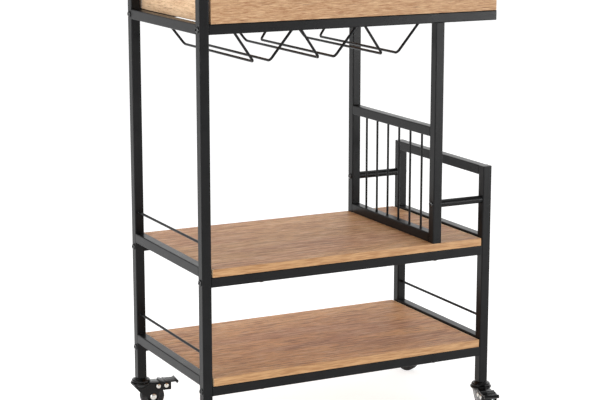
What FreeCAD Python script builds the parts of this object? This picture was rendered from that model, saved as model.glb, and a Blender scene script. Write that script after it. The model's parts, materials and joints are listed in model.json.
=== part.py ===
import FreeCAD, Part
import math
import os

# Bar cart on wheels: a black square-tube frame, two wooden shelves, a lift-off wooden tray,
# a stemware rack, a bottle bay and four braked swivel casters.
# Millimetres, +Z up. The origin is on the floor under the centre of the frame. +X runs along
# the cart, away from the push handle, and +Y runs from the front to the rear.

# ---------------------------------------------------------------- driving dimensions
TUBE = 19.0                  # side of the square frame tube
WALL = 1.2                   # its wall
TUBE_CORNER = 2.0            # its outer corner radius

LENGTH = 623.0               # over the left and right posts, along X
DEPTH = 350.0                # over the front and rear posts, along Y
TOP_OVERHANG = 2.5           # how far the top frame passes the right posts

POST_FOOT = 65.0             # underside of the posts, where the casters screw in
HANDLE_TOP = 975.0
RIGHT_FRAME_TOP = 506.0
LOWER_RAIL = 120.0           # undersides of the long rails
MID_RAIL = 328.0
TOP_RAIL = 792.5

BOARD = 15.0                 # shelf board thickness
BOARD_GAP = 2.5              # from the posts to the board's ends

DIVIDER_X = 188.5            # centre of the divider's tubes
DIVIDER_RAIL = 571.6         # underside of the divider's top rail
DIVIDER_BAR_R = 2.25
DIVIDER_BARS = 6
DIVIDER_BAR_PITCH = 44.6

GUARD_R = 2.5
GUARD_MID = 408.0
GUARD_LOWER = 198.5

BOTTLE_BAR_R = 7.5
BOTTLE_BAR_Z = 439.0

RACK_WIRE_R = 2.5
RACK_CHANNELS = (-182.0, -48.0, 86.0)   # centre of each stemware channel
RACK_HALF_GAP = 16.5         # from a channel's centre to its wire, at the bottom
RACK_HALF_TOP = 57.0         # the same where the wire meets the rail
RACK_DROP = 54.0
RACK_RUN = 159.5             # half the length of the level run
RACK_TOP_RUN = 167.0
RACK_BEND = 8.0

TRAY_HEIGHT = 85.0
TRAY_SIDE = 12.0
TRAY_FLOOR = 9.0
TRAY_GAP = 4.0               # from the left posts
GRIP_LENGTH = 90.0
GRIP_HEIGHT = 24.0
GRIP_BELOW_TOP = 20.0
DOWEL_R = 3.0
DOWEL_LENGTH = 22.0
DOWEL_IN_FACE = 7.0

BOLT_R = 3.0
BOLT_HEAD_R = 6.2
BOLT_HEAD = 3.4
BOLT_REACH = 14.0            # thread beyond the post
SOCKET_R = 2.3
INSERT = 16.4                # side of the square threaded plugs in the tubes
INSERT_CORNER = 1.2
INSERT_LENGTH = 16.0
STEM_INSERT_LENGTH = 26.0

SCREW_R = 2.0
SCREW_HEAD_R = 6.0
SCREW_HEAD = 2.5
SCREW_X = 188.5
SCREW_REACH = 11.0
DIVIDER_BOLT_R = 2.5
DIVIDER_BOLT_HEAD_R = 4.5
DIVIDER_BOLT_REACH = 8.0
ACCESS_R = 6.5
END_CAP = 3.0                # thickness of the divider posts' welded ends

FIT = 0.05                   # radial clearance of a pin or thread in its hole
SWIVEL_FIT = 0.06            # the same where the piece turns

WHEEL_R = 24.0
WHEEL_WIDTH = 20.0
HUB_R = 14.5
HUB_WIDTH = 19.0
HUB_BOSS_R = 8.0
HUB_RIM_R = 11.8
TRAIL = 22.5                 # from the swivel axis to the wheel's axle
AXLE_R = 4.0
AXLE_HEAD_R = 6.5
KINGPIN_R = 4.0
KINGPIN_HEAD_R = 6.5
KINGPIN_HEAD = 2.0
COLLAR_R = 9.5               # the stem's collar, tight under the post
COLLAR = 1.0
CAP_R = 18.6                 # the upper race, a domed cap over the balls
CAP_WALL = 1.0
CAP_SKIRT = 1.5
CAP_SHOULDER = (16.6, 62.4)  # a point on the dome, from its axis and above the floor
CROWN_R = 21.2               # the lower race, on the fork
CROWN_Z = 51.5
CROWN = 2.5
CROWN_RIM = 55.5
CROWN_RIM_WALL = 2.9
HOOD_TOP_R = 20.3            # the fork's sloping shoulders, under the crown
HOOD_FOOT_R = 13.6
HOOD_FOOT = 44.0
HOOD_OPEN = 5.0              # the shoulders are open for the wheel from here forward
LEG_INSIDE = 11.3
LEG = 2.0
PIVOT = (33.0, 46.0)         # brake pedal pivot, along the trail and above the floor
PIVOT_R = 2.5
PIVOT_PLAY = 0.3             # between the pedal and the pivot rivet's head
SHOE_PIN = (49.5, 46.0)
RIVET_HEAD_R = 4.8
RIVET_HEAD = 2.2
FLANGE_INSIDE = 13.7
FLANGE = 1.5
BALL_R = 1.5
BALL_RING_R = 13.9
BALL_Z = 55.85
BALLS = 12
BALL_PLAY = 0.3              # above the balls, and above the kingpin's head

# Outlines on the caster's own middle plane: along the trail, above the floor, and radius.
LEG_SHAPE = [(-12.0, 49.5, 4.0), (0.5, 36.8, 5.0), (TRAIL, WHEEL_R, 8.0), (*PIVOT, 5.5), (31.0, 49.7, 4.0)]
FLANGE_SHAPE = [(*PIVOT, 6.0), (42.5, 39.0, 2.0), (57.5, 38.7, 2.0), (57.6, 51.0, 2.0)]
# The foot plate: a raised hinge end, a ridge, the tread and a rolled lip.
PEDAL_SHAPE = [(36.2, 52.0), (36.2, 54.2), (37.4, 55.4), (42.0, 55.4), (43.4, 54.2), (47.0, 54.2),
               (47.8, 55.0), (50.4, 55.0), (51.2, 54.2), (68.4, 54.0), (70.6, 56.2), (72.8, 56.2),
               (75.2, 53.4), (74.6, 50.2), (72.2, 48.6), (70.4, 49.8), (70.0, 52.0)]
FORK_TOP = ((8.0, 51.5), (35.0, 53.7))       # the fork's flat top over the wheel
SHOE = ((43.8, 40.8), (53.0, 47.0))

# Each caster's resting direction: the angle from +X of the line from stem to axle.
CASTERS = {
    "front_left": (-1, -1, -80.0),
    "front_right": (1, -1, -105.0),
    "rear_left": (-1, 1, -8.0),
    "rear_right": (1, 1, -60.0),
}

# ---------------------------------------------------------------- derived places
V = FreeCAD.Vector
POST_X = (LENGTH - TUBE) / 2
POST_Y = (DEPTH - TUBE) / 2
INNER_X = LENGTH / 2 - TUBE
INNER_Y = DEPTH / 2 - TUBE
TOP_END = LENGTH / 2 + TOP_OVERHANG
TOP_FACE = TOP_RAIL + TUBE
BOARD_END = INNER_X - BOARD_GAP
TRAY_LEFT = -INNER_X + TRAY_GAP
SIDES = (("front", -1), ("rear", 1))


# ---------------------------------------------------------------- shape helpers
def turned(shape, axis):
    """Turn a shape that was built along +Z so that it runs along axis."""
    if axis == "x":
        shape.rotate(V(0, 0, 0), V(0, 1, 0), 90)
    if axis == "y":
        shape.rotate(V(0, 0, 0), V(1, 0, 0), -90)
    return shape


def place(axis, along, across):
    """The point at a distance along an axis, with the other two coordinates in X, Y, Z order."""
    if axis == "x":
        return V(along, across[0], across[1])
    if axis == "y":
        return V(across[0], along, across[1])
    return V(across[0], across[1], along)


def rounded_bar(side, length, corner):
    bar = Part.makeBox(side, side, length, V(-side / 2, -side / 2, 0))
    upright = [edge for edge in bar.Edges if abs(edge.Length - length) < 1e-6]
    return bar.makeFillet(corner, upright)


def tube(axis, across, low, high, cap_low=0.0, cap_high=0.0):
    """A square tube along an axis. A cap is the thickness of a welded end plate."""
    length = high - low
    outside = rounded_bar(TUBE, length, TUBE_CORNER)
    start = cap_low if cap_low else -1.0
    end = length - cap_high if cap_high else length + 1.0
    inside = rounded_bar(TUBE - 2 * WALL, end - start, TUBE_CORNER - WALL)
    inside.translate(V(0, 0, start))
    shape = turned(outside.cut(inside), axis)
    shape.translate(place(axis, low, across))
    return shape


def rod(axis, across, low, high, radius):
    shape = turned(Part.makeCylinder(radius, high - low), axis)
    shape.translate(place(axis, low, across))
    return shape


def block(low, high):
    size = V(*high) - V(*low)
    return Part.makeBox(size.x, size.y, size.z, V(*low))


def revolved(points):
    """Turn an outline of (radius, height) points and arcs about Z.

    A point written as ("arc", middle, end) makes a round stretch.
    """
    edges = []
    here = points[0]
    for point in points[1:] + [points[0]]:
        if point[0] == "arc":
            middle, end = point[1], point[2]
            arc = Part.Arc(V(here[0], 0, here[1]), V(middle[0], 0, middle[1]), V(end[0], 0, end[1]))
            edges.append(arc.toShape())
            here = end
        else:
            edges.append(Part.makeLine(V(here[0], 0, here[1]), V(point[0], 0, point[1])))
            here = point
    face = Part.Face(Part.Wire(edges))
    return face.revolve(V(0, 0, 0), V(0, 0, 1), 360)


def link(circles, y_low, y_high):
    """A plate across Y whose outline wraps circles (x, z, radius), given anticlockwise."""
    tangents = []
    for (ax, az, ar), (bx, bz, br) in zip(circles, circles[1:] + circles[:1]):
        span = math.hypot(bx - ax, bz - az)
        direction = math.atan2(bz - az, bx - ax)
        lean = math.acos((ar - br) / span)
        normal = direction - lean
        nx = math.cos(normal)
        nz = math.sin(normal)
        tangents.append((V(ax + ar * nx, y_low, az + ar * nz), V(bx + br * nx, y_low, bz + br * nz)))
    edges = []
    for index, (start, end) in enumerate(tangents):
        edges.append(Part.makeLine(start, end))
        cx, cz, radius = circles[(index + 1) % len(circles)]
        following = tangents[(index + 1) % len(circles)][0]
        middle = (end + following) * 0.5 - V(cx, y_low, cz)
        middle.normalize()
        middle = V(cx, y_low, cz) + middle * radius
        edges.append(Part.Arc(end, middle, following).toShape())
    return Part.Face(Part.Wire(edges)).extrude(V(0, y_high - y_low, 0))


def bent_wire(points, bend, radius):
    """A round wire through points, with a tangent arc of the bend radius at each inner point."""
    edges = []
    here = points[0]
    for before, corner, after in zip(points, points[1:], points[2:]):
        back = (before - corner).normalize()
        on = (after - corner).normalize()
        half = math.acos(max(-1.0, min(1.0, back.dot(on)))) / 2
        reach = bend / math.tan(half)
        middle = (back + on).normalize() * (bend / math.sin(half) - bend)
        start = corner + back * reach
        end = corner + on * reach
        edges.append(Part.makeLine(here, start))
        edges.append(Part.Arc(start, corner + middle, end).toShape())
        here = end
    edges.append(Part.makeLine(here, points[-1]))
    direction = (points[1] - points[0]).normalize()
    ring = Part.Wire(Part.makeCircle(radius, points[0], direction))
    return Part.Wire(edges).makePipeShell([ring], True, False)


def drilled(shape, holes):
    """Cut round holes, each (axis, across, low, high, radius)."""
    for axis, across, low, high, radius in holes:
        shape = shape.cut(rod(axis, across, low, high, radius))
    return shape


def button_bolt(radius, head_r, head, length):
    """A button-head bolt along +Z: the head is below Z = 0 and has a hex socket."""
    shaft = Part.makeCylinder(radius - FIT, length)
    dome = revolved([(0, 0), (head_r, 0), (head_r, -0.4 * head),
                     ("arc", (0.8 * head_r, -0.85 * head), (0.45 * head_r, -head)), (0, -head)])
    corners = []
    for step in range(7):
        angle = math.radians(60 * step)
        corners.append(V(SOCKET_R * math.cos(angle), SOCKET_R * math.sin(angle), -head - 1))
    socket = Part.Face(Part.makePolygon(corners)).extrude(V(0, 0, 0.6 * head + 1))
    return shaft.fuse(dome).cut(socket)


def domed_head(radius, height):
    """The outline of a low rivet head that stands on Z = 0, from its rim to its middle."""
    edge = 0.3 * height
    return [(radius, edge), ("arc", (0.75 * radius, 0.8 * height), (0.4 * radius, height)), (0, height)]


def facing(shape, direction):
    """Turn a piece built along +Z to point along a signed axis name such as -x."""
    shape = turned(shape, direction[1])
    if direction[0] == "-":
        shape.rotate(V(0, 0, 0), V(0, 0, 1) if direction[1] != "z" else V(1, 0, 0), 180)
    return shape


# ---------------------------------------------------------------- frame
def posts(nodes):
    """The four corner posts, drilled for the bolts that hold the long rails."""
    left_bolts = (LOWER_RAIL, MID_RAIL, TOP_RAIL)
    right_bolts = (LOWER_RAIL, MID_RAIL)
    for name, side in SIDES:
        for end_name, end, top, levels in (("left", -1, HANDLE_TOP, left_bolts),
                                           ("right", 1, RIGHT_FRAME_TOP, right_bolts)):
            x = end * POST_X
            y = side * POST_Y
            heights = [level + TUBE / 2 for level in levels]
            if end_name == "right":
                heights.append(BOTTLE_BAR_Z)
            holes = [("x", (y, z), x - TUBE, x + TUBE, BOLT_R) for z in heights]
            post = tube("z", (x, y), POST_FOOT, top, cap_high=WALL)
            nodes[f"{end_name}_{name}_post"] = drilled(post, holes)


def end_rails(nodes):
    """The short rails between the front and rear posts."""
    rails = {
        "push_handle_bar": (-POST_X, HANDLE_TOP - TUBE),
        "left_top_rail": (-POST_X, TOP_RAIL),
        "left_mid_rail": (-POST_X, MID_RAIL + TUBE),
        "left_lower_rail": (-POST_X, LOWER_RAIL + TUBE),
        "right_end_rail": (POST_X, RIGHT_FRAME_TOP - TUBE),
        "right_mid_rail": (POST_X, MID_RAIL + TUBE),
        "right_lower_rail": (POST_X, LOWER_RAIL + TUBE),
        "top_right_rail": (TOP_END - TUBE / 2, TOP_RAIL),
    }
    for name, (x, low) in rails.items():
        nodes[name] = tube("y", (x, low + TUBE / 2), -INNER_Y, INNER_Y)


def long_rails(nodes):
    """The front and rear rails of each tier."""
    for name, side in SIDES:
        y = side * POST_Y
        for tier, low in (("lower", LOWER_RAIL), ("mid", MID_RAIL)):
            rail = tube("x", (y, low + TUBE / 2), -INNER_X, INNER_X)
            holes = []
            for x in (-SCREW_X, SCREW_X):
                into_divider = tier == "mid" and x > 0
                radius = DIVIDER_BOLT_R if into_divider else SCREW_R
                holes.append(("z", (x, y), low - 1, low + TUBE + 1, radius + FIT))
            nodes[f"{tier}_{name}_rail"] = drilled(rail, holes)
        rail = tube("x", (y, TOP_RAIL + TUBE / 2), -INNER_X, TOP_END, cap_high=WALL)
        holes = [("z", (DIVIDER_X, y), TOP_RAIL - 1, TOP_RAIL + TUBE / 2, DIVIDER_BOLT_R + FIT),
                 ("z", (DIVIDER_X, y), TOP_RAIL + TUBE / 2, TOP_FACE + 1, ACCESS_R)]
        nodes[f"top_{name}_rail"] = drilled(rail, holes)


def divider(nodes):
    """The ladder frame that stands on the middle board and carries the top frame."""
    low = MID_RAIL + TUBE + BOARD
    for name, side in SIDES:
        y = side * POST_Y
        post = tube("z", (DIVIDER_X, y), low, TOP_RAIL, END_CAP, END_CAP)
        holes = [("x", (y, BOTTLE_BAR_Z), DIVIDER_X - TUBE, DIVIDER_X + TUBE, BOLT_R),
                 ("z", (DIVIDER_X, y), low - 1, low + END_CAP + 1, DIVIDER_BOLT_R),
                 ("z", (DIVIDER_X, y), TOP_RAIL - END_CAP - 1, TOP_RAIL + 1, DIVIDER_BOLT_R)]
        nodes[f"divider_{name}_post"] = drilled(post, holes)
    nodes["divider_bottom_rail"] = tube("y", (DIVIDER_X, low + TUBE / 2), -INNER_Y, INNER_Y)
    nodes["divider_top_rail"] = tube("y", (DIVIDER_X, DIVIDER_RAIL + TUBE / 2), -INNER_Y, INNER_Y)
    bars = []
    for index in range(DIVIDER_BARS):
        y = (index - (DIVIDER_BARS - 1) / 2) * DIVIDER_BAR_PITCH
        bars.append(rod("z", (DIVIDER_X, y), low + TUBE, DIVIDER_RAIL, DIVIDER_BAR_R))
    nodes["divider_bars"] = Part.makeCompound(bars)


def rods_and_wires(nodes):
    """The guard rods at the shelf ends, the two bottle bars and the stemware wires."""
    guards = []
    for x, z in ((-POST_X, GUARD_MID), (-POST_X, GUARD_LOWER), (POST_X, GUARD_LOWER)):
        guards.append(rod("y", (x, z), -INNER_Y, INNER_Y, GUARD_R))
    nodes["guard_rods"] = Part.makeCompound(guards)

    bars = []
    low = DIVIDER_X + TUBE / 2
    for _, side in SIDES:
        across = (side * POST_Y, BOTTLE_BAR_Z)
        bar = rod("x", across, low, INNER_X, BOTTLE_BAR_R)
        depth = BOLT_REACH + 2
        bars.append(drilled(bar, [("x", across, low - 1, low + depth, BOLT_R),
                                  ("x", across, INNER_X - depth, INNER_X + 1, BOLT_R)]))
    nodes["bottle_bars"] = Part.makeCompound(bars)

    wires = []
    above = block((-LENGTH, -DEPTH, TOP_RAIL), (LENGTH, DEPTH, TOP_FACE))
    for centre in RACK_CHANNELS:
        for side in (-1, 1):
            bottom_x = centre + side * RACK_HALF_GAP
            top_x = centre + side * RACK_HALF_TOP
            bottom_z = TOP_RAIL - RACK_DROP
            run = [V(bottom_x, -RACK_RUN, bottom_z), V(bottom_x, RACK_RUN, bottom_z)]
            ends = [V(top_x, -RACK_TOP_RUN, TOP_RAIL), V(top_x, RACK_TOP_RUN, TOP_RAIL)]
            ends = [end + (end - near).normalize() * 2 * RACK_WIRE_R for end, near in zip(ends, run)]
            path = [ends[0], run[0], run[1], ends[1]]
            wires.append(bent_wire(path, RACK_BEND, RACK_WIRE_R).cut(above))
    nodes["stemware_wires"] = Part.makeCompound(wires)


# ---------------------------------------------------------------- boards and tray
def shelves(nodes):
    for name, low in (("mid_shelf_board", MID_RAIL + TUBE), ("lower_shelf_board", LOWER_RAIL + TUBE)):
        board = block((-BOARD_END, -DEPTH / 2, low), (BOARD_END, DEPTH / 2, low + BOARD))
        holes = []
        for x in (-SCREW_X, SCREW_X):
            for _, side in SIDES:
                through = name == "mid_shelf_board" and x > 0
                top = low + BOARD + 1 if through else low + SCREW_REACH + 0.5
                radius = DIVIDER_BOLT_R + FIT if through else SCREW_R
                holes.append(("z", (x, side * POST_Y), low - 1, top, radius))
        nodes[name] = drilled(board, holes)


def tray(nodes):
    """The lift-off box: full-length front and rear panels, short ends between them, and a floor."""
    low = TOP_FACE
    high = low + TRAY_HEIGHT
    inside_y = DEPTH / 2 - TRAY_SIDE
    dowel_heights = (low + TRAY_HEIGHT / 4, high - TRAY_HEIGHT / 4)
    dowels = []
    end_holes = {"left": [], "right": []}
    for name, side in SIDES:
        y = sorted((side * inside_y, side * DEPTH / 2))
        panel = block((TRAY_LEFT, y[0], low), (TOP_END, y[1], high))
        tip = side * (inside_y + DOWEL_IN_FACE)
        root = side * (inside_y + DOWEL_IN_FACE - DOWEL_LENGTH)
        start, end = sorted((tip, root))
        holes = []
        for end_name, x in (("left", TRAY_LEFT + TRAY_SIDE / 2), ("right", TOP_END - TRAY_SIDE / 2)):
            for z in dowel_heights:
                dowels.append(rod("y", (x, z), start, end, DOWEL_R))
                hole = ("y", (x, z), start - 1, end + 1, DOWEL_R + FIT)
                holes.append(hole)
                end_holes[end_name].append(hole)
        nodes[f"tray_{name}_panel"] = drilled(panel, holes)
    for name, x in (("left", TRAY_LEFT), ("right", TOP_END - TRAY_SIDE)):
        panel = block((x, -inside_y, low), (x + TRAY_SIDE, inside_y, high))
        radius = GRIP_HEIGHT / 2
        z = high - GRIP_BELOW_TOP - radius
        half = GRIP_LENGTH / 2 - radius
        grip = block((x - 1, -half, z - radius), (x + TRAY_SIDE + 1, half, z + radius))
        for y in (-half, half):
            grip = grip.fuse(rod("x", (y, z), x - 1, x + TRAY_SIDE + 1, radius))
        nodes[f"tray_{name}_panel"] = drilled(panel.cut(grip), end_holes[name])
    nodes["tray_floor_panel"] = block((TRAY_LEFT + TRAY_SIDE, -inside_y, low),
                                      (TOP_END - TRAY_SIDE, inside_y, low + TRAY_FLOOR))
    nodes["tray_dowels"] = Part.makeCompound(dowels)


# ---------------------------------------------------------------- fasteners
def fasteners(nodes):
    bolts = []
    inserts = []
    plug = rounded_bar(INSERT, INSERT_LENGTH, INSERT_CORNER).cut(Part.makeCylinder(BOLT_R, INSERT_LENGTH))
    foot_plug = rounded_bar(INSERT, STEM_INSERT_LENGTH, INSERT_CORNER)
    foot_plug = foot_plug.cut(Part.makeCylinder(KINGPIN_R, STEM_INSERT_LENGTH))
    for _, side in SIDES:
        y = side * POST_Y
        places = []
        for low in (LOWER_RAIL, MID_RAIL, TOP_RAIL):
            places.append(("+x", -LENGTH / 2, low + TUBE / 2, True))
            if low != TOP_RAIL:
                places.append(("-x", LENGTH / 2, low + TUBE / 2, True))
        places.append(("-x", LENGTH / 2, BOTTLE_BAR_Z, False))
        places.append(("+x", DIVIDER_X - TUBE / 2, BOTTLE_BAR_Z, False))
        for direction, x, z, in_tube in places:
            bolt = facing(button_bolt(BOLT_R, BOLT_HEAD_R, BOLT_HEAD, TUBE + BOLT_REACH), direction)
            bolt.translate(V(x, y, z))
            bolts.append(bolt)
            if in_tube:
                insert = facing(plug.copy(), direction)
                insert.translate(V(math.copysign(INNER_X, x), y, z))
                inserts.append(insert)
        for end in (-1, 1):
            insert = foot_plug.copy()
            insert.translate(V(end * POST_X, y, POST_FOOT))
            inserts.append(insert)
    nodes["frame_bolts"] = Part.makeCompound(bolts)
    nodes["threaded_inserts"] = Part.makeCompound(inserts)

    screws = []
    for low in (LOWER_RAIL, MID_RAIL):
        for x in (-SCREW_X, SCREW_X):
            for _, side in SIDES:
                if low == LOWER_RAIL or x < 0:
                    screw = button_bolt(SCREW_R, SCREW_HEAD_R, SCREW_HEAD, TUBE + SCREW_REACH)
                    screw.translate(V(x, side * POST_Y, low))
                    screws.append(screw)
    nodes["board_screws"] = Part.makeCompound(screws)

    ties = []
    for _, side in SIDES:
        y = side * POST_Y
        length = TUBE + BOARD + DIVIDER_BOLT_REACH
        below = button_bolt(DIVIDER_BOLT_R, SCREW_HEAD_R, SCREW_HEAD, length)
        below.translate(V(DIVIDER_X, y, MID_RAIL))
        above = button_bolt(DIVIDER_BOLT_R, DIVIDER_BOLT_HEAD_R, BOLT_HEAD, WALL + DIVIDER_BOLT_REACH)
        above = facing(above, "-z")
        above.translate(V(DIVIDER_X, y, TOP_RAIL + WALL))
        ties += [below, above]
    nodes["divider_bolts"] = Part.makeCompound(ties)


# ---------------------------------------------------------------- casters
def caster_stem():
    """The threaded stem, the domed upper race and the kingpin, turned as one piece."""
    thread = KINGPIN_R - FIT
    thread_end = POST_FOOT + STEM_INSERT_LENGTH - 2
    rivet_top = CROWN_Z - BALL_PLAY
    rivet_bottom = rivet_top - KINGPIN_HEAD
    inside = CAP_R - CAP_WALL
    race = BALL_Z + BALL_R + BALL_PLAY / 2
    return revolved([(0, rivet_bottom), (KINGPIN_HEAD_R, rivet_bottom), (KINGPIN_HEAD_R, rivet_top),
                     (KINGPIN_R, rivet_top), (KINGPIN_R, race), (inside, race), (inside, race - CAP_SKIRT),
                     (CAP_R, race - CAP_SKIRT), (CAP_R, race + CAP_SKIRT),
                     ("arc", CAP_SHOULDER, (COLLAR_R, POST_FOOT - COLLAR)),
                     (COLLAR_R, POST_FOOT), (thread, POST_FOOT), (thread, thread_end), (0, thread_end)])


def race_balls():
    balls = []
    for index in range(BALLS):
        angle = 2 * math.pi * index / BALLS
        centre = V(BALL_RING_R * math.cos(angle), BALL_RING_R * math.sin(angle), BALL_Z)
        balls.append(Part.makeSphere(BALL_R, centre))
    return balls


def caster_fork():
    """The crown with its lower race, sloping shoulders, a flat top and two legs."""
    bore = KINGPIN_R + SWIVEL_FIT
    floor = CROWN_Z + CROWN
    rim = CROWN_R - CROWN_RIM_WALL
    crown = [(bore, CROWN_Z), (HOOD_TOP_R, CROWN_Z), (CROWN_R, CROWN_Z + 1), (CROWN_R, CROWN_RIM - 1),
             (CROWN_R - 1, CROWN_RIM), (rim, CROWN_RIM), (rim, floor), (bore, floor)]
    shoulders = revolved([(HOOD_FOOT_R, HOOD_FOOT), (HOOD_TOP_R, CROWN_Z), (HOOD_TOP_R - LEG, CROWN_Z),
                          (HOOD_FOOT_R - LEG, HOOD_FOOT)])
    opening = block((HOOD_OPEN, -LEG_INSIDE, HOOD_FOOT - 1), (CROWN_R, LEG_INSIDE, CROWN_Z))
    outside = LEG_INSIDE + LEG
    (near, under), (far, over) = FORK_TOP
    pieces = [shoulders.cut(opening), block((near, -outside, under), (far, outside, over))]
    pieces += [link(LEG_SHAPE, -outside, -LEG_INSIDE), link(LEG_SHAPE, LEG_INSIDE, outside)]
    reach = outside + 1
    return drilled(revolved(crown).fuse(pieces).removeSplitter(),
                   [("y", (TRAIL, WHEEL_R), -reach, reach, AXLE_R + FIT),
                    ("y", PIVOT, -reach, reach, PIVOT_R + FIT)])


def caster_pins():
    """The axle rivet and the two pedal pivot rivets, with low domed heads."""
    outside = LEG_INSIDE + LEG
    axle = rod("y", (TRAIL, WHEEL_R), -outside, outside, AXLE_R)
    pieces = []
    for side in (-1, 1):
        outward = "+y" if side > 0 else "-y"
        head = facing(revolved([(0, 0), (AXLE_HEAD_R, 0)] + domed_head(AXLE_HEAD_R, RIVET_HEAD)), outward)
        head.translate(V(TRAIL, side * outside, WHEEL_R))
        axle = axle.fuse(head)
        shank = FLANGE_INSIDE + FLANGE + PIVOT_PLAY - LEG_INSIDE
        rivet = revolved([(0, -shank), (PIVOT_R, -shank), (PIVOT_R, 0), (RIVET_HEAD_R, 0)]
                         + domed_head(RIVET_HEAD_R, RIVET_HEAD))
        rivet = facing(rivet, outward)
        rivet.translate(V(PIVOT[0], side * (LEG_INSIDE + shank), PIVOT[1]))
        pieces.append(rivet)
    return Part.makeCompound([axle] + pieces)


def wheel_hub():
    half = HUB_WIDTH / 2
    bore = AXLE_R + SWIVEL_FIT
    boss = half + 1
    web = half - 3
    hub = revolved([(bore, -boss), (HUB_BOSS_R, -boss), (HUB_BOSS_R, -web), (HUB_RIM_R, -web),
                    (HUB_RIM_R, -half), (HUB_R - FIT, -half), (HUB_R - FIT, half), (HUB_RIM_R, half),
                    (HUB_RIM_R, web), (HUB_BOSS_R, web), (HUB_BOSS_R, boss), (bore, boss)])
    hub = turned(hub, "y")
    hub.translate(V(TRAIL, 0, WHEEL_R))
    return hub


def wheel_tyre():
    half = WHEEL_WIDTH / 2
    soft = 3.0
    near = 0.3 * soft
    shoulder = WHEEL_R - near
    tyre = revolved([(HUB_R, -half), (WHEEL_R - soft, -half),
                     ("arc", (shoulder, -half + near), (WHEEL_R, -half + soft)), (WHEEL_R, half - soft),
                     ("arc", (shoulder, half - near), (WHEEL_R - soft, half)), (HUB_R, half)])
    tyre = turned(tyre, "y")
    tyre.translate(V(TRAIL, 0, WHEEL_R))
    return tyre


def brake_pedal():
    """A foot plate with a rolled lip, two side flanges and a shoe that stands off the tyre."""
    outside = FLANGE_INSIDE + FLANGE
    outline = [V(x, -outside, z) for x, z in PEDAL_SHAPE]
    pedal = Part.Face(Part.makePolygon(outline + outline[:1])).extrude(V(0, 2 * outside, 0))
    for side in (-1, 1):
        y = sorted((side * FLANGE_INSIDE, side * outside))
        head = revolved([(0, 0), (RIVET_HEAD_R, 0)] + domed_head(RIVET_HEAD_R, RIVET_HEAD))
        head = facing(head, "+y" if side > 0 else "-y")
        head.translate(V(SHOE_PIN[0], side * outside, SHOE_PIN[1]))
        pedal = pedal.fuse([link(FLANGE_SHAPE, y[0], y[1]), head])
    (near, under), (far, over) = SHOE
    pedal = pedal.fuse(block((near, -FLANGE_INSIDE, under), (far, FLANGE_INSIDE, over))).removeSplitter()
    return drilled(pedal, [("y", PIVOT, -outside - 1, outside + 1, PIVOT_R + SWIVEL_FIT)])


def placed(shape, at):
    shape.Placement = at.multiply(shape.Placement)
    return shape


def casters(nodes):
    """Four casters, each turned to its own resting direction under its post."""
    stems = []
    balls = []
    for name, (end, side, heading) in CASTERS.items():
        under_post = V(end * POST_X, side * POST_Y, 0)
        at = FreeCAD.Placement(under_post, FreeCAD.Rotation(V(0, 0, 1), heading))
        stems.append(placed(caster_stem(), at))
        balls += [placed(ball, at) for ball in race_balls()]
        nodes[f"{name}_caster_fork"] = placed(caster_fork(), at)
        nodes[f"{name}_caster_pins"] = placed(caster_pins(), at)
        nodes[f"{name}_wheel_hub"] = placed(wheel_hub(), at)
        nodes[f"{name}_wheel_tyre"] = placed(wheel_tyre(), at)
        nodes[f"{name}_brake_pedal"] = placed(brake_pedal(), at)
    nodes["caster_stems"] = Part.makeCompound(stems)
    nodes["swivel_balls"] = Part.makeCompound(balls)


# ---------------------------------------------------------------- output
def main():
    nodes = {}
    posts(nodes)
    end_rails(nodes)
    long_rails(nodes)
    divider(nodes)
    rods_and_wires(nodes)
    shelves(nodes)
    tray(nodes)
    fasteners(nodes)
    casters(nodes)
    os.makedirs("parts", exist_ok=True)
    for name, shape in nodes.items():
        if not shape.isValid():
            raise ValueError(f"{name} is not a valid shape")
        shape.exportStep(f"parts/{name}.step")
        print(f"{name}: {len(shape.Solids)} solids, {shape.Volume / 1000:.2f} cm3")
    print(len(nodes), "nodes")


main()
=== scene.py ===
import itertools
import json
import math

import bmesh
import bpy
from mathutils import Matrix, Vector, noise


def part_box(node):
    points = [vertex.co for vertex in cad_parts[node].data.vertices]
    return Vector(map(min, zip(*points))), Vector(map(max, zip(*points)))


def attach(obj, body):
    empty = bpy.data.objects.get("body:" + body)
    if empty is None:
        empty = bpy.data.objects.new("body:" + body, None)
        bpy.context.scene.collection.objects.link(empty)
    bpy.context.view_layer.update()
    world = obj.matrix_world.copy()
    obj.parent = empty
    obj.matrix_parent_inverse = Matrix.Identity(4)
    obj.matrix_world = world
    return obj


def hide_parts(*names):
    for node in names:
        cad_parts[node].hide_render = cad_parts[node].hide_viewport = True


# The looks of a bar cart on wheels: powder-coated square tube, light oak shelves and tray,
# blackened bolts and black swivel casters. Metres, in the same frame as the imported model.

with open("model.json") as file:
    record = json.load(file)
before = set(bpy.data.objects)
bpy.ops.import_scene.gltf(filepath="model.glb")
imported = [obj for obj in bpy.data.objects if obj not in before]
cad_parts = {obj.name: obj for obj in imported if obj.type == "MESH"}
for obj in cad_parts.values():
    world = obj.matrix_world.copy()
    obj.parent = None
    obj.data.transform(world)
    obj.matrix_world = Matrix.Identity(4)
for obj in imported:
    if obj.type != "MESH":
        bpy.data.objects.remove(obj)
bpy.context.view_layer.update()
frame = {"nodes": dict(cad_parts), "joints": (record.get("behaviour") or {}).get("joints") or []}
MM = 0.001


# ---------------------------------------------------------------- places read from the frame
def middle(node):
    low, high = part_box(node)
    return (low + high) / 2


POSTS = ("left_front", "left_rear", "right_front", "right_rear")
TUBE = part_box("push_handle_bar")[1].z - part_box("push_handle_bar")[0].z
POST_AT = {name: middle(f"{name}_post") for name in POSTS}
DIVIDER_AT = {side: middle(f"divider_{side}_post") for side in ("front", "rear")}
JOINTS = {joint["name"]: joint for joint in frame["joints"]}
CORNERS = ("front_left", "front_right", "rear_left", "rear_right")


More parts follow.
